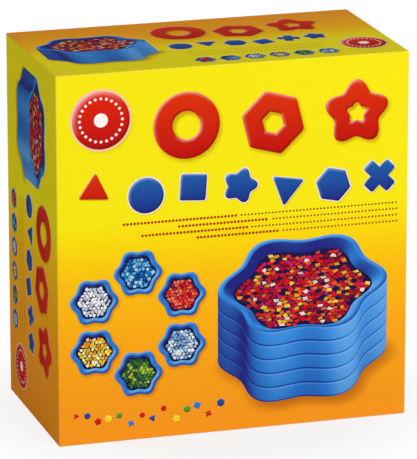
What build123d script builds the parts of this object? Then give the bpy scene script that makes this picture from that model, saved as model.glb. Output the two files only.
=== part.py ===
from build123d import *
import os

# A set of six stacking trays for sorting jigsaw pieces, in its rigid cardboard box.
# The box stands on one long side, as on a shop shelf, and its lid is the front: the lid comes off
# towards -Y, and the trays lift out after it. +X is to the right of a person facing the lid, +Z is up,
# and the origin is the middle of the face that the box stands on. All sizes are in millimetres.

os.makedirs("parts", exist_ok=True)

# The trays. Each is shaped like a jigsaw piece: a knob on one side and a socket in the other three.
tray_count = 6
tray_width = 181.0  # across the body, along the side that has the knob
tray_body_height = 162.0  # the other way across the body, without the knob
tray_pitch = 16.0  # each tray raises the stack by this much
tray_wall = 1.6  # moulded wall, ledge and floor
tray_corner_radius = 9.0
rim_radius = 0.5  # rounding along both edges of the rim
foot_depth = 1.4  # the foot drops this far inside the rim of the tray below
foot_gap = 0.4  # between the foot and the rim that it sits in
foot_edge_radius = 0.8

# The knob, and the sockets that a neighbour's knob slides into.
knob_reach = 27.0
knob_root_width = 52.0
knob_tip_width = 30.0
knob_root_radius = 9.0
knob_tip_radius = 12.0
socket_gap = 1.0  # between a knob and the socket that it is pushed into

# How the stack sits in the base of the box.
tray_side_gap = 1.2  # between a tray and each side wall
tray_seat_gap = 0.3  # under the stack, as the box stands
tray_top_gap = 2.1  # over the knobs, as the box stands
tray_headroom = 1.2  # between the last rim and the inside of the lid

# The box. Lid and base are each a greyboard shell wrapped in paper that turns in over the rim.
board = 1.5
board_edge_radius = 0.6
paper = 0.2
turn_in = 16.0  # how far the paper comes down inside the walls
slide_gap = 0.5  # between the lid's walls and the base's, all round
lid_setback = 1.0  # the lid's rim stops this far short of the back of the base

# Paper stay tape round the four folded corners, pressed into the board under the wrap.
stay_width = 12.0
stay_thickness = 0.15
stay_margin = 3.0  # from each end of the tape to the end of the wall

# Sizes that follow from those.
foot_inset = tray_wall + foot_gap
wall_build = board + 2 * paper  # a wall with its paper, where it is turned in
panel_build = board + paper  # a closed panel, which is bare board inside

base_width = tray_width + 2 * (tray_side_gap + wall_build)
base_height = tray_seat_gap + tray_body_height + knob_reach + tray_top_gap + 2 * wall_build
base_depth = panel_build + foot_depth + tray_count * tray_pitch + tray_headroom
lid_width = base_width + 2 * (slide_gap + wall_build)
lid_height = base_height + 2 * (slide_gap + wall_build)
box_depth = base_depth + panel_build
lid_depth = box_depth - lid_setback

tray_low_side = slide_gap + 2 * wall_build + tray_seat_gap
first_ledge = panel_build + foot_depth  # how far the first tray's ledge is from the back of the box

# Each plane lies on a closed panel's outside face and looks towards that shell's open rim.
base_panel = Plane(origin=(0, box_depth / 2, lid_height / 2), x_dir=(1, 0, 0), z_dir=(0, -1, 0))
lid_panel = Plane(origin=(0, -box_depth / 2, lid_height / 2), x_dir=(1, 0, 0), z_dir=(0, 1, 0))
# The trays' own plane is at the back of the box too, at the level of the stack's lower side.
tray_back = Plane(origin=(0, box_depth / 2, tray_low_side), x_dir=(1, 0, 0), z_dir=(0, -1, 0))


def rounded_block(panel, width, height, start, length, radius):
    """A block on a panel's axis, with its long corners and the edges of its closed end rounded."""
    with BuildPart() as block:
        with BuildSketch(panel.offset(start)):
            Rectangle(width, height)
        extrude(amount=length)
        way_out = Axis(panel.origin, panel.z_dir)
        long_corners = block.edges().filter_by(way_out)
        closed_end = block.faces().sort_by(way_out)[0].edges()
        fillet(long_corners + closed_end, radius)
    return block.part


def corner_stays(panel, width, height, depth, label):
    """Four strips of stay tape, one round each folded corner of a shell's walls."""
    length = depth - panel_build - paper - 2 * stay_margin
    with BuildPart() as stays:
        with BuildSketch(panel.offset(panel_build + stay_margin)):
            RectangleRounded(width, height, board_edge_radius)
            RectangleRounded(
                width - 2 * stay_thickness,
                height - 2 * stay_thickness,
                board_edge_radius - stay_thickness,
                mode=Mode.SUBTRACT,
            )
        extrude(amount=length)
        with BuildSketch(panel.offset(panel_build + stay_margin)):
            with GridLocations(width - stay_width, height - stay_width, 2, 2):
                Rectangle(stay_width, stay_width)
        extrude(amount=length, mode=Mode.INTERSECT)
    stays.part.label = label
    return stays.part


def board_shell(panel, width, height, depth, stays, label):
    """One scored greyboard blank folded into a shell: a closed panel and four walls."""
    with BuildPart() as shell:
        add(rounded_block(panel, width, height, paper, depth - 2 * paper, board_edge_radius))
        with BuildSketch(panel.offset(panel_build)):
            Rectangle(width - 2 * board, height - 2 * board)
        extrude(amount=depth, mode=Mode.SUBTRACT)
        add(stays, mode=Mode.SUBTRACT)
    shell.part.label = label
    return shell.part


def paper_wrap(panel, width, height, depth, label):
    """The paper outside a board shell, carried over its rim and turned in down its walls."""
    board_width = width - 2 * paper
    board_height = height - 2 * paper
    inner_width = board_width - 2 * board
    inner_height = board_height - 2 * board
    with BuildPart() as wrap:
        add(rounded_block(panel, width, height, 0, depth, board_edge_radius + paper))
        add(
            rounded_block(
                panel, board_width, board_height, paper, depth - 2 * paper, board_edge_radius
            ),
            mode=Mode.SUBTRACT,
        )
        with BuildSketch(panel.offset(depth - turn_in)):
            Rectangle(inner_width, inner_height)
        extrude(amount=turn_in)
        with BuildSketch(panel.offset(depth - turn_in)):
            Rectangle(inner_width - 2 * paper, inner_height - 2 * paper)
        extrude(amount=turn_in, mode=Mode.SUBTRACT)
    wrap.part.label = label
    return wrap.part


def tray_corners():
    """The corners of a tray's outline with their radii, anticlockwise from the lower left corner."""
    knob = (knob_root_width / 2, knob_tip_width / 2, knob_reach)
    socket = (
        knob_root_width / 2 + socket_gap,
        knob_tip_width / 2 + socket_gap,
        -knob_reach - socket_gap,
    )
    half = tray_width / 2
    sides = [
        (Vector(-half, 0), Vector(1, 0), tray_width, socket),
        (Vector(half, 0), Vector(0, 1), tray_body_height, socket),
        (Vector(half, tray_body_height), Vector(-1, 0), tray_width, knob),
        (Vector(-half, tray_body_height), Vector(0, -1), tray_body_height, socket),
    ]
    corners = []
    for start, along, length, (root, tip, reach) in sides:
        outwards = Vector(along.Y, -along.X)
        middle = start + along * (length / 2)
        corners += [
            (start, tray_corner_radius),
            (middle - along * root, knob_root_radius),
            (middle - along * tip + outwards * reach, knob_tip_radius),
            (middle + along * tip + outwards * reach, knob_tip_radius),
            (middle + along * root, knob_root_radius),
        ]
    return corners


def tray_profile(depth, inset):
    """A tray's outline drawn in from its outer walls, at a depth from the back of the box."""
    points, radii = zip(*tray_corners())
    with BuildSketch(tray_back.offset(depth)) as profile:
        with BuildLine():
            FilletPolyline(*points, radius=radii, close=True)
        make_face()
        if inset:
            offset(amount=-inset)
    return profile.sketch


def make_tray(ledge, label):
    """One moulded tray: straight walls, a ledge that sits on the rim below, and a sunken floor."""
    back = ledge - foot_depth
    walls = tray_profile(ledge, 0)
    foot = tray_profile(back, foot_inset)
    well = tray_profile(back + tray_wall, foot_inset + tray_wall)
    inside = tray_profile(ledge + tray_wall, tray_wall)
    opening = Axis(tray_back.origin, tray_back.z_dir)
    with BuildPart() as tray:
        extrude(walls, amount=tray_pitch)
        extrude(foot, amount=foot_depth)
        fillet(tray.faces().sort_by(opening)[0].edges(), foot_edge_radius)
        extrude(well, amount=tray_pitch, mode=Mode.SUBTRACT)
        extrude(inside, amount=tray_pitch, mode=Mode.SUBTRACT)
        fillet(tray.faces().sort_by(opening)[-1].edges(), rim_radius)
    tray.part.label = label
    return tray.part


# The base and the lid, each with its stay tape, its board and its wrap.
shells = {
    "base": (base_panel, base_width, base_height, base_depth),
    "lid": (lid_panel, lid_width, lid_height, lid_depth),
}
for name, (panel, width, height, depth) in shells.items():
    board_width = width - 2 * paper
    board_height = height - 2 * paper
    stays = corner_stays(panel, board_width, board_height, depth, f"{name}_corner_stays")
    greyboard = board_shell(panel, board_width, board_height, depth, stays, f"{name}_board")
    wrap = paper_wrap(panel, width, height, depth, f"{name}_wrap")
    for piece in (stays, greyboard, wrap):
        export_step(piece, f"parts/{piece.label}.step")

# The stack, from the tray at the back of the box to the one behind the lid.
for number in range(tray_count):
    tray = make_tray(first_ledge + number * tray_pitch, f"tray_{number + 1}")
    export_step(tray, f"parts/{tray.label}.step")
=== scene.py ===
# %% [markdown]
# A boxed set of stacking trays, dressed in Blender. The solid model is loaded first and stays as it is.
# Every step below gives its real pieces their paper, print, board and plastic, and prints what it made.

# %% Load the solid model
from math import cos, radians, sin

import bpy
import numpy as np
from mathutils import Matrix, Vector


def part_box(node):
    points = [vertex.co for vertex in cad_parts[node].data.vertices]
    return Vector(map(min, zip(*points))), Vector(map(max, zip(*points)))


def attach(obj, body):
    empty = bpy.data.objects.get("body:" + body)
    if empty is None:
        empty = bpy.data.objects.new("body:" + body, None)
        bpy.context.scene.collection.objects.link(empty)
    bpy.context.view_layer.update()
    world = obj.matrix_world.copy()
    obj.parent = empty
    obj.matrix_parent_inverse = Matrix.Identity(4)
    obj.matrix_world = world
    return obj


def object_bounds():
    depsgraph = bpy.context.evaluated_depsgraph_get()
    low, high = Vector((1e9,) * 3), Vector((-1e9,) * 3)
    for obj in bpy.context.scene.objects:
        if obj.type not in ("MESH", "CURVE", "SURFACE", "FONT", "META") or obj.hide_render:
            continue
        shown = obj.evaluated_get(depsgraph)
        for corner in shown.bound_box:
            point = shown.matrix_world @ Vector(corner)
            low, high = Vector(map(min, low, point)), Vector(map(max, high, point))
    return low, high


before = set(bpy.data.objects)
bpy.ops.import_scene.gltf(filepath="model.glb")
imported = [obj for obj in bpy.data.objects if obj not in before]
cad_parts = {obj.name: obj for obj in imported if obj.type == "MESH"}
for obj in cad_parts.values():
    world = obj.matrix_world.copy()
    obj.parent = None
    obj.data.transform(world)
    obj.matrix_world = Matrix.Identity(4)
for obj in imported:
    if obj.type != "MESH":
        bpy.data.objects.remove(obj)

MM = 0.001
cad_low, cad_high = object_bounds()

# %% [markdown]
# Two helpers serve every material. Colours are written as the sRGB hex codes that a printer or a moulder
# would quote, and shaders want linear light, so one function turns them over. The other adds a node with
# its settings and its links in one call, which keeps a material readable as a list of steps.


# %% Helpers for colours and nodes
def linear(hex_code):
    """A hex sRGB colour as linear RGBA: c / 12.92 when dark, else ((c + 0.055) / 1.055) to the power 2.4."""
    srgb = np.array([int(hex_code[i : i + 2], 16) for i in (1, 3, 5)]) / 255
    light = np.where(srgb <= 0.04045, srgb / 12.92, ((srgb + 0.055) / 1.055) ** 2.4)
    return (*light.tolist(), 1.0)


def add(tree, kind, settings=None, **inputs):
    """Adds a node. settings are its own properties; inputs are socket names, or in_0 for socket 0."""
    node = tree.nodes.new(kind)
    for name, value in (settings or {}).items():
        setattr(node, name, value)
    for name, value in inputs.items():
        key = int(name[3:]) if name.startswith("in_") else name.replace("_", " ")
        if isinstance(value, bpy.types.NodeSocket):
            tree.links.new(value, node.inputs[key])
        else:
            node.inputs[key].default_value = value
    return node


def new_material(name):
    """An empty node material, with its output node."""
    material = bpy.data.materials.new(name)
    material.use_nodes = True
    material.node_tree.nodes.clear()
    output = material.node_tree.nodes.new("ShaderNodeOutputMaterial")
    return material, material.node_tree, output


print("orange ink as linear light:", [round(c, 3) for c in linear("#F7941E")[:3]])

# %% [markdown]
# The camera stands where the photographer's did: far off with a long lens, a little to the left of the lid
# and above it. Angle, distance and lens come from fitting the box's seven visible corners.

# %% Camera
AZIMUTH, ELEVATION = radians(-17.0), radians(16.0)
DISTANCE = 2.269  # metres
LENS, SENSOR = 332.7, 36.0  # mm, with the sensor along the picture's long side
AIM_RIGHT, AIM_UP = 0.0014, -0.0032  # metres beside the middle of the box, for the photo's framing
SIGHT = 20.0  # metres, past the far edge of the floor

back = Vector((sin(AZIMUTH) * cos(ELEVATION), -cos(AZIMUTH) * cos(ELEVATION), sin(ELEVATION)))
right = Vector((cos(AZIMUTH), sin(AZIMUTH), 0))
up = back.cross(right)
box_middle = Vector((0, 0, (cad_low.z + cad_high.z) / 2))

camera = bpy.data.objects.new("camera", bpy.data.cameras.new("camera"))
bpy.context.collection.objects.link(camera)
camera.data.lens = LENS
camera.data.sensor_width = SENSOR
camera.data.clip_end = SIGHT
camera.location = box_middle + right * AIM_RIGHT + up * AIM_UP + back * DISTANCE
camera.rotation_mode = "QUATERNION"
camera.rotation_quaternion = (-back).to_track_quat("-Z", "Y")
bpy.context.scene.camera = camera
bpy.context.scene.view_settings.view_transform = "Standard"
print("camera at", [round(c, 3) for c in camera.location])

# %% [markdown]
# A pack shot has one broad soft lamp. Here it hangs in front and to the right, so the lid's panel is the
# brightest side, and the top and the left side fall off as they do in the photo. A weaker lamp stands low
# behind, for the sides that the photo doesn't show.


# %% Lamps
def area_lamp(name, place, size, watts):
    """A square area lamp at a place in metres, turned towards the middle of the box."""
    lamp = bpy.data.objects.new(name, bpy.data.lights.new(name, "AREA"))
    lamp.data.size = size
    lamp.data.energy = watts
    lamp.location = place
    lamp.rotation_mode = "QUATERNION"
    lamp.rotation_quaternion = (box_middle - lamp.location).to_track_quat("-Z", "Y")
    bpy.context.collection.objects.link(lamp)
    return lamp


area_lamp("key_lamp", place=(0.8, -2.6, 0.92), size=1.5, watts=43.0)
area_lamp("back_lamp", place=(1.6, 2.2, 0.06), size=1.0, watts=28.0)

# %% [markdown]
# A dim even world fills the shade. The camera, gloss reflections and glass see it as plain white instead,
# which is what the Light Path node is for: it tells what kind of ray is asking.

# %% World
FILL_LIGHT = 0.44


def seen_directly(tree):
    """1 where a ray comes from the camera, from a gloss reflection or through glass, and 0 elsewhere."""
    path = add(tree, "ShaderNodeLightPath").outputs
    glossy = add(tree, "ShaderNodeMath", {"operation": "MAXIMUM"},
                 in_0=path["Is Camera Ray"], in_1=path["Is Glossy Ray"])
    return add(tree, "ShaderNodeMath", {"operation": "MAXIMUM"},
               in_0=glossy.outputs[0], in_1=path["Is Transmission Ray"]).outputs[0]


world = bpy.data.worlds.new("studio")
world.use_nodes = True
world.node_tree.nodes.clear()
seen = seen_directly(world.node_tree)
fill = add(world.node_tree, "ShaderNodeBackground", Color=linear("#FFFFFF"), Strength=FILL_LIGHT)
white = add(world.node_tree, "ShaderNodeBackground", Color=linear("#FFFFFF"), Strength=1.0)
sky = add(world.node_tree, "ShaderNodeMixShader", Fac=seen,
          in_1=fill.outputs[0], in_2=white.outputs[0])
add(world.node_tree, "ShaderNodeOutputWorld", Surface=sky.outputs[0])
bpy.context.scene.world = world
print("world fill:", FILL_LIGHT)

# %% [markdown]
# The floor is pale background paper. It fades to white away from the box, as a cut-out photo does, but next
# to the box it keeps a fifth of its own shade, which is enough for the box's shadow to show. It lies a
# tenth of a millimetre low, because two faces in one plane, here the floor and the ink on the box's
# underside, would flicker.

# %% Floor
FLOOR_HALF = 6.0
FLOOR_Z = -0.1 * MM
WHITE_NEAR_BOX = 0.8
FADE_FROM, FADE_TO = 0.07, 0.17  # metres from the middle of the box

floor_mesh = bpy.data.meshes.new("floor")
corners = [(x * FLOOR_HALF, y * FLOOR_HALF, FLOOR_Z) for x, y in ((-1, -1), (1, -1), (1, 1), (-1, 1))]
floor_mesh.from_pydata(corners, [], [(0, 1, 2, 3)])
floor = bpy.data.objects.new("floor", floor_mesh)
bpy.context.collection.objects.link(floor)

floor_paper, tree, output = new_material("matt white background paper")
seen = seen_directly(tree)
place = add(tree, "ShaderNodeTexCoord").outputs["Object"]
reach = add(tree, "ShaderNodeVectorMath", {"operation": "LENGTH"}, in_0=place)
far = add(tree, "ShaderNodeMapRange", {"interpolation_type": "SMOOTHSTEP"}, Value=reach.outputs["Value"],
          From_Min=FADE_FROM, From_Max=FADE_TO, To_Min=WHITE_NEAR_BOX, To_Max=1.0)
fade = add(tree, "ShaderNodeMath", {"operation": "MULTIPLY"}, in_0=far.outputs[0], in_1=seen)
matt = add(tree, "ShaderNodeBsdfDiffuse", Color=linear("#F2F1EE"))
glow = add(tree, "ShaderNodeEmission", Color=linear("#FFFFFF"), Strength=1.0)
mixed = add(tree, "ShaderNodeMixShader", Fac=fade.outputs[0], in_1=matt.outputs[0], in_2=glow.outputs[0])
tree.links.new(mixed.outputs[0], output.inputs["Surface"])
floor_mesh.materials.append(floor_paper)
print("floor paper:", floor_paper.name)

# %% [markdown]
# The folds are where a box ages first: the film cracks and the ink pales in a broken line. The same pale
# line is also a painted highlight, standing for the light that a rounded fold catches. A material can
# find the folds by itself, because on the skin of a box the nearest fold is a matter of three distances.


# %% How far a point is from the nearest fold
def fold_distance(tree, point, low, high):
    """Distance in metres to the nearest fold of a box from low to high, for a point on its skin.

    Each axis gives the distance to its nearer side. On the skin the least of the three is about zero,
    so the middle one is the distance to the nearest fold: max(min(a, b), min(max(a, b), c)).
    """
    middle = [(a + b) / 2 for a, b in zip(low, high)]
    half = [(b - a) / 2 for a, b in zip(low, high)]
    offset = add(tree, "ShaderNodeVectorMath", {"operation": "SUBTRACT"}, in_0=point, in_1=middle)
    size = add(tree, "ShaderNodeVectorMath", {"operation": "ABSOLUTE"}, in_0=offset.outputs[0])
    depth = add(tree, "ShaderNodeVectorMath", {"operation": "SUBTRACT"}, in_0=half, in_1=size.outputs[0])
    a, b, c = add(tree, "ShaderNodeSeparateXYZ", Vector=depth.outputs[0]).outputs
    lesser = add(tree, "ShaderNodeMath", {"operation": "MINIMUM"}, in_0=a, in_1=b)
    greater = add(tree, "ShaderNodeMath", {"operation": "MAXIMUM"}, in_0=a, in_1=b)
    other = add(tree, "ShaderNodeMath", {"operation": "MINIMUM"}, in_0=greater.outputs[0], in_1=c)
    return add(tree, "ShaderNodeMath", {"operation": "MAXIMUM"},
               in_0=lesser.outputs[0], in_1=other.outputs[0]).outputs[0]


lid_low, lid_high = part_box("lid_wrap")
print("lid wrap, in mm:", [round((b - a) / MM, 1) for a, b in zip(lid_low, lid_high)])

# %% [markdown]
# Under all the motifs lies a blend of process inks: yellow down to the middle of each upright side and then
# orange, and orange towards the back of the top. It is a function of place, so one material covers a whole
# wrap and carries over its folds.

# %% The printed blend
BLEND = {0.4: "#F9E916", 0.47: "#FCD90E", 0.56: "#FDC112", 0.74: "#FBA818", 0.94: "#F69A1F"}
TOP_BLEND = (0.05, 0.92)  # where in the blend the top begins at the front and ends at the back
SKIN_MM = 0.5  # how near its outermost level a point lies on the top or the underside


def printed_blend(tree, y, z, low, high):
    """The blend's colour: a ramp over how far down a point is or, on the top, how far back."""
    down = add(tree, "ShaderNodeMapRange", Value=z, From_Min=high[2], From_Max=low[2])
    away = add(tree, "ShaderNodeMapRange", Value=y,
               From_Min=low[1], From_Max=high[1], To_Min=TOP_BLEND[0], To_Max=TOP_BLEND[1])
    on_top = add(tree, "ShaderNodeMath", {"operation": "GREATER_THAN"}, in_0=z, in_1=high[2] - SKIN_MM * MM)
    top_blend = add(tree, "ShaderNodeMath", {"operation": "MULTIPLY"},
                    in_0=away.outputs[0], in_1=on_top.outputs[0])
    blend = add(tree, "ShaderNodeMath", {"operation": "MAXIMUM"},
                in_0=down.outputs[0], in_1=top_blend.outputs[0])
    ramp = add(tree, "ShaderNodeValToRGB", Fac=blend.outputs[0])
    first, last = ramp.color_ramp.elements
    first.position, last.position = min(BLEND), max(BLEND)
    first.color, last.color = linear(BLEND[min(BLEND)]), linear(BLEND[max(BLEND)])
    for position, code in list(BLEND.items())[1:-1]:
        ramp.color_ramp.elements.new(position).color = linear(code)
    return ramp.outputs["Color"]


print("blend from", BLEND[min(BLEND)], "to", BLEND[max(BLEND)])

# %% [markdown]
# Three things raise the paper a little. Its fibres are finer than a render shows, so they are drawn at half
# a millimetre. The board below keeps long shallow waves. And the paper of the left and right sides is glued
# round the corners in flaps, under the paper of the top and the underside, where each leaves a faint step.

# %% The paper's relief
FIBRE_MM = 0.5
BOARD_WAVE_MM = 38.0
FLAP_MM = 14.0
FLAP_STEP_MM = 0.12


def paper_relief(tree, point, x, z, low, high):
    """The normal of art paper on board: fine noise, wide noise and a smooth step along each flap's edge."""
    fibre = add(tree, "ShaderNodeTexNoise", Vector=point, Scale=1 / (FIBRE_MM * MM), Detail=2.0)
    wave = add(tree, "ShaderNodeTexNoise", Vector=point, Scale=1 / (BOARD_WAVE_MM * MM), Detail=1.0)
    fine = add(tree, "ShaderNodeBump", Strength=0.12, Distance=0.02 * MM, Height=fibre.outputs["Fac"])
    wide = add(tree, "ShaderNodeBump", Strength=0.5, Distance=0.25 * MM, Height=wave.outputs["Fac"],
               Normal=fine.outputs["Normal"])
    from_middle = add(tree, "ShaderNodeMath", {"operation": "SUBTRACT"}, in_0=z, in_1=(low[2] + high[2]) / 2)
    upwards = add(tree, "ShaderNodeMath", {"operation": "ABSOLUTE"}, in_0=from_middle.outputs[0])
    level_side = add(tree, "ShaderNodeMath", {"operation": "GREATER_THAN"},
                     in_0=upwards.outputs[0], in_1=(high[2] - low[2]) / 2 - SKIN_MM * MM)
    sideways = add(tree, "ShaderNodeMath", {"operation": "ABSOLUTE"}, in_0=x)
    flap_edge = high[0] - FLAP_MM * MM
    flap = add(tree, "ShaderNodeMapRange", {"interpolation_type": "SMOOTHSTEP"},
               Value=sideways.outputs[0], From_Min=flap_edge - 0.5 * MM, From_Max=flap_edge)
    step = add(tree, "ShaderNodeMath", {"operation": "MULTIPLY"},
               in_0=flap.outputs[0], in_1=level_side.outputs[0])
    return add(tree, "ShaderNodeBump", Strength=0.7, Distance=FLAP_STEP_MM * MM, Height=step.outputs[0],
               Normal=wide.outputs["Normal"]).outputs["Normal"]


print("flaps reach", FLAP_MM, "mm under the top and the underside")

# %% [markdown]
# The wraps are coated art paper, printed offset and laminated with a thin clear film. Such paper has an even
# satin skin: the film's gloss drifts a little where it was rubbed, and it is dull where a fold is scuffed.
# The part with ink on it lays each printed film's own colour over the blend, by the film's ink attribute.

# %% Laminated art paper
# The pale band along each fold is partly wear and partly a painted highlight, the light a rounded fold
# catches.
FOLD_WEAR_AND_HIGHLIGHT_MM = 0.7
FOLD_BREAKUP_MM = 6.0
HAZE_MM = 22.0
WEAR_AND_FOLD_HIGHLIGHT = (0.02, 0.3)  # how far a fold's ink pales, from its best to its worst places
SATIN = (0.5, 0.62)  # the film's roughness, from its glossier to its duller patches
SCUFFED = 0.4  # roughness that wear adds
FILM_SPECULAR = 0.006  # low, because the white studio would wash out ink seen at a low angle


def art_paper(name, low, high, with_ink=False):
    """Laminated art paper round a box from low to high. with_ink lays the piece's own ink over the blend."""
    material, tree, output = new_material(name)
    point = add(tree, "ShaderNodeTexCoord").outputs["Object"]
    x, y, z = add(tree, "ShaderNodeSeparateXYZ", Vector=point).outputs
    colour = printed_blend(tree, y, z, low, high)
    if with_ink:
        ink = add(tree, "ShaderNodeAttribute", {"attribute_name": "ink"}).outputs
        colour = add(tree, "ShaderNodeMix", {"data_type": "RGBA"}, Factor=ink["Alpha"],
                     in_6=colour, in_7=ink["Color"]).outputs[2]

    fold = fold_distance(tree, point, low, high)
    fold_breakup = add(tree, "ShaderNodeTexNoise", Vector=point, Scale=1 / (FOLD_BREAKUP_MM * MM),
                Detail=5.0, Roughness=0.7)
    nearness = add(tree, "ShaderNodeMapRange", {"interpolation_type": "SMOOTHSTEP"}, Value=fold,
                   From_Min=0.2 * MM, From_Max=FOLD_WEAR_AND_HIGHLIGHT_MM * MM, To_Min=1.0, To_Max=0.0)
    broken = add(tree, "ShaderNodeMapRange", Value=fold_breakup.outputs["Fac"],
                 From_Min=0.4, From_Max=0.75, To_Min=WEAR_AND_FOLD_HIGHLIGHT[0], To_Max=WEAR_AND_FOLD_HIGHLIGHT[1])
    wear_and_fold_highlight = add(tree, "ShaderNodeMath", {"operation": "MULTIPLY"},
               in_0=nearness.outputs[0], in_1=broken.outputs[0])
    # Painted highlight and wear: the ink turns pale in a broken line near the folds.
    colour = add(tree, "ShaderNodeMix", {"data_type": "RGBA"}, Factor=wear_and_fold_highlight.outputs[0],
                 in_6=colour, in_7=linear("#FFF6C8")).outputs[2]

    haze = add(tree, "ShaderNodeTexNoise", Vector=point, Scale=1 / (HAZE_MM * MM), Detail=3.0)
    gloss = add(tree, "ShaderNodeMapRange", Value=haze.outputs["Fac"],
                From_Min=0.3, From_Max=0.7, To_Min=SATIN[0], To_Max=SATIN[1])
    roughness = add(tree, "ShaderNodeMath", {"operation": "MULTIPLY_ADD"},
                    in_0=wear_and_fold_highlight.outputs[0], in_1=SCUFFED, in_2=gloss.outputs[0])
    shader = add(tree, "ShaderNodeBsdfPrincipled", Base_Color=colour, Roughness=roughness.outputs[0],
                 IOR=1.5, Specular_IOR_Level=FILM_SPECULAR,
                 Normal=paper_relief(tree, point, x, z, low, high))
    tree.links.new(shader.outputs[0], output.inputs["Surface"])
    return material


def dress(node_name, material):
    """Gives one solid its finish, on the object's own slots."""
    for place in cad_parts[node_name].material_slots:
        place.link = "OBJECT"
        place.material = material


base_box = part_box("base_wrap")
lid_paper = art_paper("laminated art paper, lid wrap", lid_low, lid_high)
lid_print = art_paper("offset ink on laminated art paper, lid", lid_low, lid_high, with_ink=True)
base_paper = art_paper("laminated art paper, base wrap", *base_box)
base_print = art_paper("offset ink on laminated art paper, base", *base_box, with_ink=True)
dress("lid_wrap", lid_paper)
dress("base_wrap", base_paper)
print("papers:", [m.name for m in bpy.data.materials if "art paper" in m.name])

# %% [markdown]
# Greyboard is pressed from recycled paper pulp. Close to, it is a warm grey felt of short fibres, with
# darker and paler flecks from the old print, and quite matt. Its fibres lie along the sheet, so noise is
# stretched along one axis. Stay tape is gummed kraft paper: brown, with long fibres and a faint sheen.

# %% Greyboard and kraft stay tape
MOTTLE_MM = 9.0
FLECK_MM = 2.4
DARK_SHARE, PALE_SHARE = 0.28, 0.22  # of the cells of noise, how many hold a fleck


def pulp_board(name, ground, fleck, pale, fibre_mm, stretch, roughness):
    """Matt pulp: a ground colour mottled by stretched noise, with dark and pale flecks and a felt bump."""
    material, tree, output = new_material(name)
    point = add(tree, "ShaderNodeTexCoord").outputs["Object"]
    drawn = add(tree, "ShaderNodeMapping", Vector=point, Scale=(1.0, 1.0, 1.0 / stretch))
    felt = add(tree, "ShaderNodeTexNoise", Vector=drawn.outputs[0], Scale=1 / (fibre_mm * MM),
               Detail=6.0, Roughness=0.65)
    mottle = add(tree, "ShaderNodeTexNoise", Vector=point, Scale=1 / (MOTTLE_MM * MM), Detail=3.0)
    spots = add(tree, "ShaderNodeTexVoronoi", Vector=drawn.outputs[0], Scale=1 / (FLECK_MM * MM))
    near = add(tree, "ShaderNodeMapRange", Value=spots.outputs["Distance"],
               From_Min=0.1, From_Max=0.2, To_Min=1.0, To_Max=0.0)
    chance = add(tree, "ShaderNodeSeparateColor", Color=spots.outputs["Color"]).outputs
    dark = add(tree, "ShaderNodeMath", {"operation": "GREATER_THAN"}, in_0=chance[0], in_1=1 - DARK_SHARE)
    light = add(tree, "ShaderNodeMath", {"operation": "GREATER_THAN"}, in_0=chance[1], in_1=1 - PALE_SHARE)
    dark_fleck = add(tree, "ShaderNodeMath", {"operation": "MULTIPLY"},
                     in_0=dark.outputs[0], in_1=near.outputs[0])
    pale_fleck = add(tree, "ShaderNodeMath", {"operation": "MULTIPLY"},
                     in_0=light.outputs[0], in_1=near.outputs[0])
    tone = add(tree, "ShaderNodeMapRange", Value=mottle.outputs["Fac"],
               From_Min=0.3, From_Max=0.7, To_Min=0.86, To_Max=1.1)
    grain = add(tree, "ShaderNodeMapRange", Value=felt.outputs["Fac"],
                From_Min=0.3, From_Max=0.7, To_Min=0.84, To_Max=1.12)
    both = add(tree, "ShaderNodeMath", {"operation": "MULTIPLY"}, in_0=tone.outputs[0], in_1=grain.outputs[0])
    mottled = add(tree, "ShaderNodeVectorMath", {"operation": "SCALE"},
                  in_0=linear(ground)[:3], Scale=both.outputs[0])
    darker = add(tree, "ShaderNodeMix", {"data_type": "RGBA"}, Factor=dark_fleck.outputs[0],
                 in_6=mottled.outputs[0], in_7=linear(fleck))
    paler = add(tree, "ShaderNodeMix", {"data_type": "RGBA"}, Factor=pale_fleck.outputs[0],
                in_6=darker.outputs[2], in_7=linear(pale))
    relief = add(tree, "ShaderNodeBump", Strength=0.6, Distance=0.08 * MM, Height=felt.outputs["Fac"])
    shader = add(tree, "ShaderNodeBsdfPrincipled", Base_Color=paler.outputs[2], Roughness=roughness,
                 IOR=1.45, Normal=relief.outputs["Normal"])
    tree.links.new(shader.outputs[0], output.inputs["Surface"])
    return material


greyboard = pulp_board("pressed greyboard", "#A29A8C", "#5E574D", "#D8D3C6", 0.7, 3.0, 0.92)
kraft = pulp_board("gummed kraft stay tape", "#B58A58", "#8A6238", "#D6B485", 0.5, 6.0, 0.7)
for shell in ("base", "lid"):
    dress(f"{shell}_board", greyboard)
    dress(f"{shell}_corner_stays", kraft)
print("pulp finishes:", greyboard.name, "and", kraft.name)

# %% [markdown]
# The trays are injection moulded in blue polystyrene. The polished steel mould leaves a gloss skin with a
# faint orange peel, and the pins that push a tray out of it leave shallow rings on its floor. A grid of
# rings needs no list of places: folding each axis onto one cell of the grid makes one ring stand for all.

# %% Rings left by the ejector pins
PIN_RADIUS_MM = 3.5
PIN_PITCH_MM = (46.0, 64.0)  # across and up, so that no ring meets a wall
RING_WIDTH_MM = 0.35
TRAY_BODY_MM = 162.0  # a tray's height without its knob

trays = [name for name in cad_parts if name.startswith("tray_")]
tray_low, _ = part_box(trays[0])
tray_middle_z = tray_low.z + TRAY_BODY_MM / 2 * MM


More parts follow.
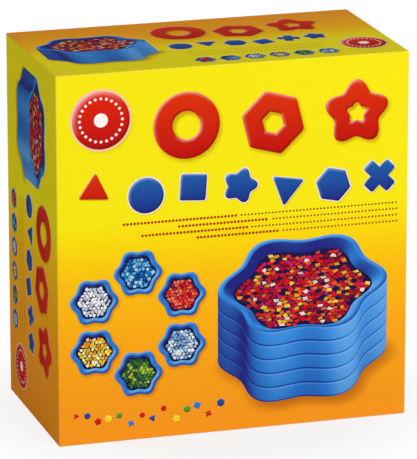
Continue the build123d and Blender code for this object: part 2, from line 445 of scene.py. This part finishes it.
def ejector_rings(tree, point):
    """1 on the rings of the ejector pins and 0 elsewhere: how near a point is to the nearest pin's rim."""
    local = add(tree, "ShaderNodeMapping", Vector=point, Location=(0, 0, -tray_middle_z))
    x, _, z = add(tree, "ShaderNodeSeparateXYZ", Vector=local.outputs[0]).outputs
    pitch_x, pitch_z = (pitch * MM for pitch in PIN_PITCH_MM)
    near_x = add(tree, "ShaderNodeMath", {"operation": "PINGPONG"}, in_0=x, in_1=pitch_x)
    near_z = add(tree, "ShaderNodeMath", {"operation": "PINGPONG"}, in_0=z, in_1=pitch_z)
    flat = add(tree, "ShaderNodeCombineXYZ", X=near_x.outputs[0], Y=near_z.outputs[0])
    gap = add(tree, "ShaderNodeVectorMath", {"operation": "DISTANCE"}, in_0=flat.outputs[0],
              in_1=(pitch_x / 2, pitch_z / 2, 0))
    off_rim = add(tree, "ShaderNodeMath", {"operation": "SUBTRACT"}, in_0=gap.outputs["Value"],
                  in_1=PIN_RADIUS_MM * MM)
    from_rim = add(tree, "ShaderNodeMath", {"operation": "ABSOLUTE"}, in_0=off_rim.outputs[0])
    return add(tree, "ShaderNodeMapRange", {"interpolation_type": "SMOOTHSTEP"}, Value=from_rim.outputs[0],
               From_Min=0.0, From_Max=RING_WIDTH_MM * MM, To_Min=1.0, To_Max=0.0).outputs[0]


print("trays:", trays)

# %% [markdown]
# The plastic itself has one colour all through, but the melt flows out from the middle, so its tone drifts a
# little. Handling rubs the gloss in fine patches. Orange peel and rings are bump.

# %% Moulded polystyrene
PEEL_MM = 1.6
DRIFT_MM = 45.0
RUB_MM = 3.0
POLISH = (0.19, 0.34)  # roughness, from untouched to rubbed


def moulded_plastic(name, hex_code):
    """Gloss polystyrene with orange peel, ejector rings, a drift of tone and rubbed patches."""
    material, tree, output = new_material(name)
    point = add(tree, "ShaderNodeTexCoord").outputs["Object"]
    peel = add(tree, "ShaderNodeTexNoise", Vector=point, Scale=1 / (PEEL_MM * MM), Detail=1.0)
    drift = add(tree, "ShaderNodeTexNoise", Vector=point, Scale=1 / (DRIFT_MM * MM), Detail=2.0)
    rub = add(tree, "ShaderNodeTexNoise", Vector=point, Scale=1 / (RUB_MM * MM), Detail=6.0, Roughness=0.7)
    tone = add(tree, "ShaderNodeMapRange", Value=drift.outputs["Fac"],
               From_Min=0.3, From_Max=0.7, To_Min=0.93, To_Max=1.07)
    colour = add(tree, "ShaderNodeVectorMath", {"operation": "SCALE"}, in_0=linear(hex_code)[:3],
                 Scale=tone.outputs[0])
    gloss = add(tree, "ShaderNodeMapRange", Value=rub.outputs["Fac"],
                From_Min=0.35, From_Max=0.75, To_Min=POLISH[0], To_Max=POLISH[1])
    smooth = add(tree, "ShaderNodeBump", Strength=0.25, Distance=0.03 * MM, Height=peel.outputs["Fac"])
    relief = add(tree, "ShaderNodeBump", Strength=0.7, Distance=0.15 * MM, Height=ejector_rings(tree, point),
                 Normal=smooth.outputs["Normal"])
    shader = add(tree, "ShaderNodeBsdfPrincipled", Base_Color=colour.outputs[0],
                 Roughness=gloss.outputs[0], IOR=1.55, Normal=relief.outputs["Normal"])
    tree.links.new(shader.outputs[0], output.inputs["Surface"])
    return material


polystyrene = moulded_plastic("injection moulded polystyrene, blue", "#1F77CE")
for tray in trays:
    dress(tray, polystyrene)
print("dressed in", polystyrene.name, ":", len(trays), "trays")

# %% [markdown]
# The box's print is drawn, not photographed. Each motif is a flat sheet of points worked out with numpy
# and laid a few hundredths of a millimetre above the paper, as an ink and varnish film is. Every point
# carries an ink colour and how much of it covers the blend below, in an attribute named ink. So soft
# shadows, bevelled edges and gleams are sums over arrays, and the print stays sharp close to.

# %% Inks, and how a printed shape seems to catch the light
INKS = {  # at its top, at its foot, its gleam and its shade
    "red": ("#E03410", "#C01210", "#FFC4AC", "#7C080C"),
    "blue": ("#2562AE", "#1F2A84", "#9CC0EA", "#141850"),
    "scarlet": ("#E6280C", "#BA1214", "#FFC0BC", "#740A0C"),
    "yellow": ("#FFE63C", "#FFC40C", "#FFFDE0", "#B87806"),
    "green": ("#6DB23C", "#3B8028", "#CDE8A0", "#1E4815"),
    "dish": ("#358AE0", "#246CC2", "#7CC0F6", "#262880"),
}
SHADOW_INK = linear("#9A4206")[:3]
LIGHT_ANGLE = radians(125)  # the printed light comes from the upper left
LIGHT = np.array([cos(LIGHT_ANGLE), sin(LIGHT_ANGLE)])
FRONT_RIGHT = np.array([cos(radians(325)), sin(radians(325))])  # and on upright walls, in plan
LAYER = 0.02 * MM


def mix(a, b, share):
    """Colours a and b mixed for a whole array of shares: a times (1 - share) plus b times share."""
    return np.asarray(a) * (1 - share[..., None]) + np.asarray(b) * share[..., None]


def lit_ink(ink, lit, height):
    """An ink at a height from -1, its foot, to 1, its top, where lit runs from -1, shade, to 1, gleam."""
    top, foot, gleam, shade = (np.array(linear(code)) for code in INKS[ink])
    own = mix(foot, top, 0.5 + 0.5 * np.clip(height, -1, 1))
    return mix(mix(own, gleam, np.clip(lit, 0, 1)), shade, np.clip(-lit, 0, 1))


print("inks:", ", ".join(INKS))

# %% [markdown]
# A shape's outline is a radius for each angle, so discs, polygons, flowers and plus signs are all one
# array. Its normals say how a bevel along it would meet the light, which is what makes flat ink look
# moulded.


# %% Outlines of the printed shapes
def soft_polygon(angles, sides, hardness=14.0):
    """Radius of a polygon with soft corners: 1 over the p-norm of the cosines to its sides' normals."""
    normals = np.arange(sides) * 2 * np.pi / sides
    cosines = np.clip(np.cos(angles[:, None] - normals[None, :]), 0, None)
    return (cosines**hardness).sum(axis=1) ** (-1 / hardness)


def soft_cross(angles, arm=0.38, hardness=10.0):
    """Radius of a plus sign: the greater of two soft bars, 1 over the p-norm of cos and sin / arm."""
    along, across = np.abs(np.cos(angles)), np.abs(np.sin(angles))
    level = along**hardness + (across / arm) ** hardness
    upright = (along / arm) ** hardness + across**hardness
    return np.minimum(level, upright) ** (-1 / hardness)


def flower(angles, petals=5, depth=0.16):
    """Radius of a flower: 1 plus a cosine with one wave for each petal."""
    return 1 + depth * np.cos(petals * angles)


SHAPES = {
    "disc": np.ones_like,
    "triangle": lambda angles: soft_polygon(angles, 3, 9.0),
    "square": lambda angles: soft_polygon(angles, 4),
    "hexagon": lambda angles: soft_polygon(angles, 6, 30.0),
    "cross": soft_cross,
    "flower": flower,
    "scallop": lambda angles: flower(angles, 6, 0.08),
}


def radius_at(shape, angles):
    """A shape's radius at each angle, where its furthest point has 1."""
    all_round = np.arange(720) * 2 * np.pi / 720
    return SHAPES[shape](angles) / SHAPES[shape](all_round).max()


def outline_of(shape, radius, turn=0.0, around=96):
    """A shape's outline as (points, 2), turned, with its furthest point at the radius."""
    angles = np.arange(around) * 2 * np.pi / around
    radii = radius * radius_at(shape, angles)
    return np.stack([radii * np.cos(angles + turn), radii * np.sin(angles + turn)], axis=-1)


def facing_light(outline, light=LIGHT):
    """How squarely each outward normal faces a printed light: the tangent, turned back by 90 degrees."""
    tangent = np.roll(outline, -1, axis=0) - np.roll(outline, 1, axis=0)
    normal = np.stack([tangent[:, 1], -tangent[:, 0]], axis=-1)
    return normal @ light / np.linalg.norm(normal, axis=1)


print("shapes:", ", ".join(SHAPES))

# %% [markdown]
# One function turns a grid of points into a sheet of ink. Rows run outwards and columns anticlockwise, so
# its faces look out of the panel. Where sheets overlap they lie on layers of their own, because two faces
# in one plane would flicker.


# %% Sheets of ink: shadows and beads
def ink_sheet(points, layer, colours, round_closed=True, filled=False):
    """A sheet (points, layer, faces, colours) from points of (rows, columns, 2) joined by quads.

    round_closed joins the last column to the first, and filled puts one many-sided face in the first row.
    """
    rows, columns = points.shape[:2]
    row, column = np.meshgrid(np.arange(rows - 1), np.arange(columns - (not round_closed)), indexing="ij")
    a, b = row * columns + column, row * columns + (column + 1) % columns
    faces = np.stack([a, a + columns, b + columns, b], axis=-1).reshape(-1, 4).tolist()
    if filled:
        faces.append(list(range(columns)))
    colours = np.broadcast_to(colours, (rows, columns, 4))
    return points.reshape(-1, 2), layer, faces, colours.reshape(-1, 4)


def rings(centre, outline, steps):
    """Concentric rows of points: centre + step * outline for each step."""
    return np.asarray(centre) + np.asarray(steps)[:, None, None] * outline[None]


SHADOW_STEPS = [0.84, 0.9, 0.96, 1.02, 1.07, 1.12]  # out from the middle, where the outline has 1
SHADOW_COVER = [0.62, 0.56, 0.42, 0.22, 0.07, 0.0]  # of the ink at each step
SHADOW_MOVE = np.array([0.05, -0.07])  # right and down, in parts of the shape's reach
BEVEL, BEVEL_POWER, BEVEL_CATCH = 0.2, 1.5, 0.9  # width, curve, and how much light it catches


def shadow(centre, outline, layer, hole=0.0):
    """A printed soft shadow, moved down and to the right, whose cover falls to nothing past the outline."""
    inner, inner_cover = ([0.75 * hole, hole], [0.0, 0.5]) if hole else ([0.02, 0.5], [0.62, 0.62])
    steps = np.array(inner + SHADOW_STEPS)
    cover = np.array(inner_cover + SHADOW_COVER)
    colours = np.empty((len(steps), len(outline), 4))
    colours[..., :3], colours[..., 3] = SHADOW_INK, cover[:, None]
    middle = np.asarray(centre) + SHADOW_MOVE * np.abs(outline).max()
    return ink_sheet(rings(middle, outline, steps), layer, colours, filled=hole == 0)


def bead(centre, radius, ink, shape="disc", turn=0.0, hole=0.0, edge=None, around=96, layer=2):
    """A shape printed to look moulded, with its shadow. It may have a hole, and a thin edge line.

    It is level in the middle and has a bevel along its outline and its hole, steepest at the very edge:
    slope = (1 - distance from the edge / width of the bevel) to the power 1.5. What a point of the bevel
    catches of the light is its slope times how squarely the outline faces the light there.
    """
    outline = outline_of(shape, radius, turn, around)
    bevel = BEVEL * (1 - hole)
    inwards = np.array([1.0, 0.8, 0.6, 0.4, 0.2, 0.0])  # from the edge of the level middle to the outline
    outer, outer_slope = 1 - bevel * inwards, (1 - inwards) ** BEVEL_POWER
    inner, inner_slope = hole + bevel * inwards[::-1], -((1 - inwards[::-1]) ** BEVEL_POWER)
    if hole:
        steps, slope = np.append(inner, outer), np.append(inner_slope, outer_slope)
    else:
        steps, slope = np.append(0.02, outer), np.append(0.0, outer_slope)
    height = steps[:, None] * outline[None, :, 1] / radius
    lit = BEVEL_CATCH * slope[:, None] * facing_light(outline)[None]
    body = ink_sheet(rings(centre, outline, steps), layer, lit_ink(ink, lit, height), filled=hole == 0)
    sheets = [shadow(centre, outline, layer - 1, hole), body]
    if edge:
        sheets.append(ink_sheet(rings(centre, outline, [1.0, 1.07]), layer, linear(edge)))
    return sheets


trial = bead((0, 0), 10.0, "red", hole=0.4)
print("a bead is", len(trial), "sheets of", sum(len(sheet[0]) for sheet in trial), "points")

# %% [markdown]
# The dishes are full of scraps of colour, hundreds of them, so each scrap is a single face. They lie on a
# hexagonal grid that a seeded generator shakes, which looks random and still leaves no large gaps.


# %% Sheets of ink: scraps
ROW_STEP = 0.866  # between the rows of a hexagonal grid, in cells
LEVELS = 9  # of height within one layer, so that no two neighbours share a plane
SHAKE, TWIST = 0.12, 0.35  # of a scrap's place, in cells, and of its corners, in radians
SCRAP_SIZES = (0.42, 0.72)  # from a scrap's middle to its corners, in cells
SCRAP_TONES = (0.62, 1.15)


def scraps(centre, reach, cell, palette, layer, seed, squash=1.0):
    """Four-cornered scraps of colour that fill a dish, one on each point of a shaken hexagonal grid.

    Neighbours lie at nine heights within one layer, by row and column. A squash below 1 flattens the whole
    heap, as when it is seen at a slant.
    """
    rng = np.random.default_rng(seed)
    count = int(reach / cell) + 2
    row, column = (a.ravel() for a in np.mgrid[-count : count + 1, -count : count + 1])
    spots = np.stack([(column + 0.5 * (row % 2)) * cell, row * cell * ROW_STEP], axis=-1)
    wall = reach * radius_at("scallop", np.arctan2(spots[:, 1], spots[:, 0]))
    inside = np.hypot(*spots.T) < wall - 0.5 * cell
    spots, height = spots[inside], (row % 3 + 3 * (column % 3))[inside] / LEVELS
    middles = spots + rng.uniform(-SHAKE, SHAKE, spots.shape) * cell
    turn = rng.uniform(0, 2 * np.pi, (len(spots), 1)) + np.arange(4) * np.pi / 2
    turn = turn + rng.uniform(-TWIST, TWIST, turn.shape)
    radii = cell * rng.uniform(*SCRAP_SIZES, turn.shape)
    points = middles[:, None] + radii[..., None] * np.stack([np.cos(turn), np.sin(turn)], axis=-1)
    points = np.asarray(centre) + points * np.array([1.0, squash])
    own = np.array([linear(code) for code in palette])[rng.integers(len(palette), size=len(spots))]
    tone = rng.uniform(*SCRAP_TONES, turn.shape)
    colours = np.clip(own[:, None] * tone[..., None], 0, 1)
    colours[..., 3] = 1.0
    faces = np.arange(len(spots) * 4).reshape(-1, 4).tolist()
    return points.reshape(-1, 2), layer + np.repeat(height, 4), faces, colours.reshape(-1, 4)


trial = scraps((0, 0), 10.0, 2.0, ["#FFFFFF"], 1, seed=0)
print("a heap of 20 mm has", len(trial[2]), "scraps")

# %% [markdown]
# A small dish has six lobes and is seen from right above. It is a profile carried round its outline: from the
# middle outwards come the floor, the inside wall, the rim and the rim's bevel. Two rings at nearly one place
# make a crisp edge.


# %% Sheets of ink: a small dish
DISH_FLOOR = "#1D1A46"
DISH_STEPS = np.array([0.02, 0.76, 0.761, 0.88, 0.881, 0.92, 0.921, 0.97, 1.0])
DISH_SLOPE = np.array([0, 0, -0.95, -0.6, 0.3, 0.3, 0.45, 0.6, 0.85])  # negative where it falls inwards


def dish(centre, radius, palette, cell, seed, around=72, layer=2):
    """A scalloped dish from above, lit by its slope times how squarely the outline faces the light."""
    outline = outline_of("scallop", radius, 0.0, around)
    lit = DISH_SLOPE[:, None] * facing_light(outline)[None]
    colours = lit_ink("dish", lit - 0.12, np.full_like(lit, 0.2))
    colours[:2, :, :3] = linear(DISH_FLOOR)[:3]
    body = ink_sheet(rings(centre, outline, DISH_STEPS), layer, colours, filled=True)
    heap = scraps(centre, DISH_STEPS[1] * radius, cell, palette, layer + 1, seed)
    return [shadow(centre, outline, layer - 1), body, heap]


trial = dish((0, 0), 10.0, ["#FFFFFF"], 2.0, seed=0)
print("a dish of 20 mm holds", len(trial[-1][2]), "scraps")

# %% [markdown]
# The large dishes stand in a stack seen from the front and above, so their outline is flattened and the
# outside of the stack shows. The outside is the lower half of the outline carried straight down. Each dish
# has a bright line under its rim and a dark seam below.


# %% Sheets of ink: a stack of dishes
SQUASH = 0.6  # height of the slanted outline, in parts of the round one
WALL_HEIGHT, SUNK = 0.165, 0.064  # of one dish's wall, and how low its floor lies, in radii
MEAN_LOBE = 0.926  # the scallop's mean radius, where its furthest point has 1
WALL_STEPS = np.array([0.0, 0.07, 0.12, 0.88, 0.93, 0.999])  # down one dish's wall
WALL_ACCENT = np.array([0.0, 0.35, 0.0, -0.12, -0.9, -0.9])
TOP_STEPS = np.array([0.02, 0.82, 0.821, 0.93, 0.931, 0.965, 0.966, 1.0])  # floor, inside wall and rim
TOP_SLOPE = np.array([0, 0, -1.2, -0.7, -0.2, 0.1, 0.5, 0.75])
TOP_SHADE = np.array([0, 0, 0.5, 0.35, 0, 0, 0, 0])
TOP_SUNK = np.array([1.0, 1.0, 1.0, 0, 0, 0, 0, 0])


def dish_stack(centre, radius, count, palette, cell, seed, around=144, layer=2):
    """A stack of dishes seen at a slant, the top one full of scraps; centre is the middle of its rim.

    The outside is brighter where it faces a light from the right front, by the cosine in the dish's own
    plane, and where it bulges out past its mean radius.
    """
    step, drop = WALL_HEIGHT * radius, SUNK * radius
    plan = outline_of("scallop", radius, 0.0, around)
    outline = plan * np.array([1.0, SQUASH])
    foot = np.asarray(centre) - np.array([0, step * count])

    lower = np.arange(around // 2, around + 1) % around
    level = (np.arange(count)[:, None] + WALL_STEPS[None]).ravel()
    bulge = np.hypot(*plan.T) / radius - MEAN_LOBE
    across = (0.8 * facing_light(plan, FRONT_RIGHT) + 2.4 * bulge - 0.4)[lower]
    lit = across[None] + np.tile(WALL_ACCENT, count)[:, None]
    side = np.asarray(centre) + outline[lower][None] - np.array([0, step]) * level[:, None, None]
    outside = ink_sheet(side, layer, lit_ink("dish", lit, 1 - 1.6 * level[:, None] / count), False)

    lit = TOP_SLOPE[:, None] * facing_light(outline)[None] - TOP_SHADE[:, None]
    colours = lit_ink("dish", lit, np.full_like(lit, 0.6))
    colours[:2, :, :3] = linear(DISH_FLOOR)[:3]
    points = rings(centre, outline, TOP_STEPS) + TOP_SUNK[:, None, None] * np.array([0, -drop])
    inside = ink_sheet(points, layer, colours, filled=True)
    middle = np.asarray(centre) - (0, drop)
    heap = scraps(middle, TOP_STEPS[1] * radius, cell, palette, layer + 1, seed, SQUASH)
    return [shadow(foot, outline * 1.03, layer - 1), outside, inside, heap]


trial = dish_stack((0, 0), 40.0, 5, ["#FFFFFF"], 3.0, seed=0)
print("a stack of five is", len(trial), "sheets of", sum(len(sheet[0]) for sheet in trial), "points")

# %% [markdown]
# Rows of fine dots give the panels a second, smaller scale beside the beads and dishes. A dot is a polygon
# of few sides, because there are hundreds of them. The badge is a bead with larger dots on it.


# %% Sheets of ink: fine dots
BOLD_INK, FINE_INK, STRIP_INK, BACK_INK, PALE_INK = "#B23A0C", "#A0661A", "#B8500F", "#8A5A2A", "#FFF6F0"
DOT_PITCH = 1.9


def dots(middles, radius, code, layer=1, sides=8):
    """Dots round an array of middles, each a polygon of so many sides."""
    angles = np.arange(sides) * 2 * np.pi / sides
    rim = radius * np.stack([np.cos(angles), np.sin(angles)], axis=-1)
    points = (np.asarray(middles)[:, None] + rim[None]).reshape(-1, 2)
    faces = np.arange(len(points)).reshape(-1, sides).tolist()
    return points, layer, faces, np.broadcast_to(linear(code), (len(points), 4))


def dot_rows(left, right, levels, pitch, radius, code, layer=1):
    """Rows of dots: at each level, dots a pitch apart from left to right."""
    across, level = np.meshgrid(np.arange(left, right, pitch), levels)
    return dots(np.stack([across.ravel(), level.ravel()], axis=-1), radius, code, layer)


def two_part_row(left, right, level, share=0.42):
    """A row in two weights: bold dots for the first share of it and finer ones after."""
    turn = left + share * (right - left)
    return [
        dot_rows(left, turn - 1, [level], DOT_PITCH, 0.78, BOLD_INK),
        dot_rows(turn + 1, right, [level], DOT_PITCH, 0.6, FINE_INK),
    ]


def badge(centre, radius, around=24):
    """A scarlet disc with a circle of pale dots near its edge and a large one in its middle."""
    turn = np.arange(around) * 2 * np.pi / around
    circle = np.asarray(centre) + 0.74 * radius * np.stack([np.cos(turn), np.sin(turn)], axis=-1)
    return bead(centre, radius, "scarlet", edge="#F9CFA8") + [
        dots(circle, 0.05 * radius, PALE_INK, layer=3, sides=12),
        dots([centre], 0.24 * radius, PALE_INK, layer=3, sides=40),
    ]


print("a row of 50 mm has", len(dot_rows(0, 50, [0], 2.0, 0.5, "#000000")[2]), "dots")

# %% [markdown]
# A panel of the box is a place for print: its middle, which way is right and up for its reader, and which
# way it faces. Sheets are drawn in millimetres from the middle of a panel and joined into one piece, so
# each group of motifs on each panel is a single printed film that moves with the lid or with the base.


# %% Panels, and printing on them
def panel_of(node, middle, reading, upright):
    """A panel's middle, from parts of its node's box, its reader's right and up, and the way it faces."""
    low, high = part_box(node)
    centre = Vector([a + (b - a) * part for a, b, part in zip(low, high, middle)])
    across, above = Vector(reading), Vector(upright)
    return centre, across, above, across.cross(above)


PANELS = {
    "front": panel_of("lid_wrap", (0.5, 0, 0.5), (1, 0, 0), (0, 0, 1)),
    "top": panel_of("lid_wrap", (0.5, 0.5, 1), (1, 0, 0), (0, 1, 0)),
    "underside": panel_of("lid_wrap", (0.5, 0.5, 0), (1, 0, 0), (0, -1, 0)),
    "left": panel_of("lid_wrap", (0, 0.5, 0.5), (0, 0, -1), (0, -1, 0)),
    "right": panel_of("lid_wrap", (1, 0.5, 0.5), (0, 0, 1), (0, -1, 0)),
    "back": panel_of("base_wrap", (0.5, 1, 0.5), (-1, 0, 0), (0, 0, 1)),
}
print("panels:", ", ".join(PANELS))


def print_on(panel, name, sheets):
    """Joins sheets of ink into one film on a panel: middle + u * right + v * up + layer * outwards."""
    centre, across, above, out = PANELS[panel]
    points, faces, colours = [], [], []
    for uv, layer, sheet_faces, sheet_colours in sheets:
        first = sum(len(p) for p in points)
        place = np.array(centre) + np.reshape(layer, (-1, 1)) * LAYER * np.array(out)
        points.append(place + uv[:, :1] * MM * np.array(across) + uv[:, 1:] * MM * np.array(above))
        faces += [[first + corner for corner in face] for face in sheet_faces]
        colours.append(sheet_colours)
    mesh = bpy.data.meshes.new(f"{panel}_{name}")
    mesh.from_pydata(np.concatenate(points).tolist(), [], faces)
    ink = mesh.attributes.new("ink", "FLOAT_COLOR", "POINT")
    ink.data.foreach_set("color", np.concatenate(colours).astype(np.float32).ravel())
    body = "base" if panel == "back" else "lid"
    mesh.materials.append(base_print if body == "base" else lid_print)
    film = bpy.data.objects.new(f"{panel}_{name}", mesh)
    bpy.context.collection.objects.link(film)
    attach(film, body)
    print(f"{film.name}: {len(mesh.vertices)} points, {len(mesh.polygons)} faces")
    return film


# %% [markdown]
# The lid's panel carries bold beads in red and blue, a stack of dishes and six small ones full of coloured
# scraps, fine rows of dots and a few loose beads. They are plain shapes in bright inks on the blend, as
# such boxes have, and the same few motifs come back smaller on the four sides. All places and sizes are
# in millimetres from the middle of the panel.

# %% The print on the lid's panel
SCRAPS = {
    "warm": ["#E0201C", "#D9141A", "#EE4A1E", "#C8123A", "#F2A01C", "#DB1E6A", "#E0301A", "#1C1B4E",
             "#B01A20", "#E8261C", "#F6E2D4", "#2A1A44", "#F06A1E", "#D61A28", "#FFD23C", "#8E1426"],
    "red": ["#E8261C", "#C9142B", "#F04A23", "#FF7A4A"],
    "blue": ["#1E7FD0", "#5FC0F2", "#1560B4", "#A8DCF6"],
    "white": ["#FFFFFF", "#E9ECF4", "#CDD6EA"],
    "yellow": ["#FFE23A", "#FFC81E", "#FFF7B0", "#F59A1E"],
    "green": ["#6FA82E", "#3F7A2A", "#B4CC3C", "#2F5A26"],
    "sky": ["#A6CDF2", "#D6EAFB", "#7FAFE2", "#FFFFFF"],
}
SMALL_DISHES = ["red", "blue", "white", "yellow", "green", "sky"]
PALE_EDGE = "#F6E3DC"
ROWS_TOP, ROWS_STEP, ROW_STARTS = 18.2, 3.4, (-60, -30, -50, -20)


def together(groups):
    """One list from a list of lists of sheets."""
    return [sheet for group in groups for sheet in group]


print_on("front", "red_beads", together([
    bead((-26, 69), 18.0, "red", hole=0.42),
    bead((21, 67), 17.5, "red", "hexagon", turn=0.25, hole=0.34),
    bead((67, 69), 18.0, "red", "flower", turn=0.3, hole=0.3),
    bead((-76, 38), 9.0, "red", "triangle", turn=0.45),
]))
wave = [(-48 + 25.6 * i, 33 + 2.5 * sin(1.3 * i)) for i in range(6)]  # a row on a low sine wave
wave_shapes = ("disc", "square", "flower", "triangle", "hexagon", "cross")
print_on("front", "blue_beads", together(
    bead(spot, 9.6, "blue", shape, turn=0.5 + i, edge=PALE_EDGE)
    for i, (spot, shape) in enumerate(zip(wave, wave_shapes))
))
print_on("front", "badge", badge((-72, 75), 15.5))
print_on("front", "dot_rows", together(
    two_part_row(left, 90, ROWS_TOP - ROWS_STEP * i) for i, left in enumerate(ROW_STARTS)
))
print_on("front", "dish_stack", dish_stack((38, -22), 47.0, 5, SCRAPS["warm"], 3.3, seed=1))

# %% [markdown]
# The six small dishes stand in a ring, and loose beads lie below them. Both are laid out by formula: even
# angles round a circle, and even steps along a row that a seeded generator shakes.

# %% The ring of small dishes and the loose beads
RING_MIDDLE, RING_REACH, SMALL_RADIUS = (-52.5, -36.0), 27.5, 13.2

turns = [radians(60 * i + 30) for i in range(6)]
places = [(RING_MIDDLE[0] + RING_REACH * cos(a), RING_MIDDLE[1] + RING_REACH * sin(a)) for a in turns]
print_on("front", "small_dishes", together(
    dish(place, SMALL_RADIUS, SCRAPS[name], 2.0, seed=10 + i)
    for i, (place, name) in enumerate(zip(places, SMALL_DISHES))
))


def loose_beads(count, left, right, low, high, size, seed):
    """Small beads of every ink, a step apart along a row, each shaken and turned its own way."""
    rng = np.random.default_rng(seed)
    step = (right - left) / (count - 1)
    across = left + step * (np.arange(count) + rng.uniform(-0.1, 0.1, count))
    above = rng.uniform(low, high, count)
    turn, sizes = rng.uniform(0, 6, count), size * rng.uniform(0.8, 1.1, count)
    inks, shapes = list(INKS), list(SHAPES)
    return together(
        bead((u, v), r, inks[i % len(inks)], shapes[(2 * i + 1) % len(shapes)], a, around=30)
        for i, (u, v, r, a) in enumerate(zip(across, above, sizes, turn))
    )


print_on("front", "loose_beads", loose_beads(14, left=-87, right=-8, low=-91, high=-83, size=2.1, seed=5))

# %% [markdown]
# The four sides of the lid carry the same motifs at about half the size, in one strip that reads along
# the side. The top reads from the front, and the left side reads downwards.


# %% The print on the lid's sides
def strip(panel, seed):
    """A side's strip: a stack, red beads over blue ones, rows of dots and small dishes, and a badge."""
    print_on(panel, "dish_stack", dish_stack((-60, 12), 30.0, 5, SCRAPS["warm"], 2.5, seed=seed))
    reds = [
        bead((-9, 24), 15.0, "red", hole=0.42),
        bead((23, 19), 14.0, "red", "hexagon", turn=0.25, hole=0.34),
        bead((55, 24), 14.5, "red", "flower", turn=0.3, hole=0.3),
    ]
    shapes = ("disc", "triangle", "hexagon", "square", "cross", "flower")
    blues = [bead((-16 + 15 * i, -6 + 2.5 * sin(1.7 * i)), 6.4, "blue", shape, turn=0.5 + i, edge=PALE_EDGE)
             for i, shape in enumerate(shapes)]
    print_on(panel, "beads", together(reds + blues))
    print_on(panel, "badge", badge((79, -26), 12.0))
    print_on(panel, "dot_rows", [dot_rows(-16, 58, [-19.0, -23.0, -27.0], 2.0, 0.5, STRIP_INK)])
    row = [dish((-12 + 13.5 * i, -38), 5.8, SCRAPS[name], 1.5, seed=seed + i, around=48)
           for i, name in enumerate(SMALL_DISHES)]
    print_on(panel, "small_dishes", together(row))


for number, panel in enumerate(("top", "left", "right", "underside")):
    strip(panel, seed=30 + 10 * number)

# %% [markdown]
# The back of the box is the base's panel. It is the plainest side: a pale field with rows of fine dots over
# a row of the six small dishes.


# %% The print on the back
def pale_field(centre, half_width, half_height, code, layer=1):
    """A field with rounded corners: a superellipse, each axis a low power of a cosine or a sine."""
    angles = np.arange(120) * 2 * np.pi / 120
    power = 0.28
    x = np.sign(np.cos(angles)) * np.abs(np.cos(angles)) ** power
    y = np.sign(np.sin(angles)) * np.abs(np.sin(angles)) ** power
    outline = np.stack([half_width * x, half_height * y], axis=-1)
    return ink_sheet(rings(centre, outline, [0.02, 1.0]), layer, linear(code), filled=True)


print_on("back", "field", [pale_field((0, 24), 80, 52, "#FFF4B8")])
levels = [64 - 4.6 * i for i in range(18)]
print_on("back", "dot_rows", [dot_rows(-70, 70, levels, 2.2, 0.55, BACK_INK, layer=2)])
print_on("back", "small_dishes", together(
    dish((-75 + 30 * i, -62), 12.0, SCRAPS[name], 2.0, seed=70 + i) for i, name in enumerate(SMALL_DISHES)
))

# %% [markdown]
# Last, the view layer is brought up to date.

# %% Finish
bpy.context.view_layer.update()
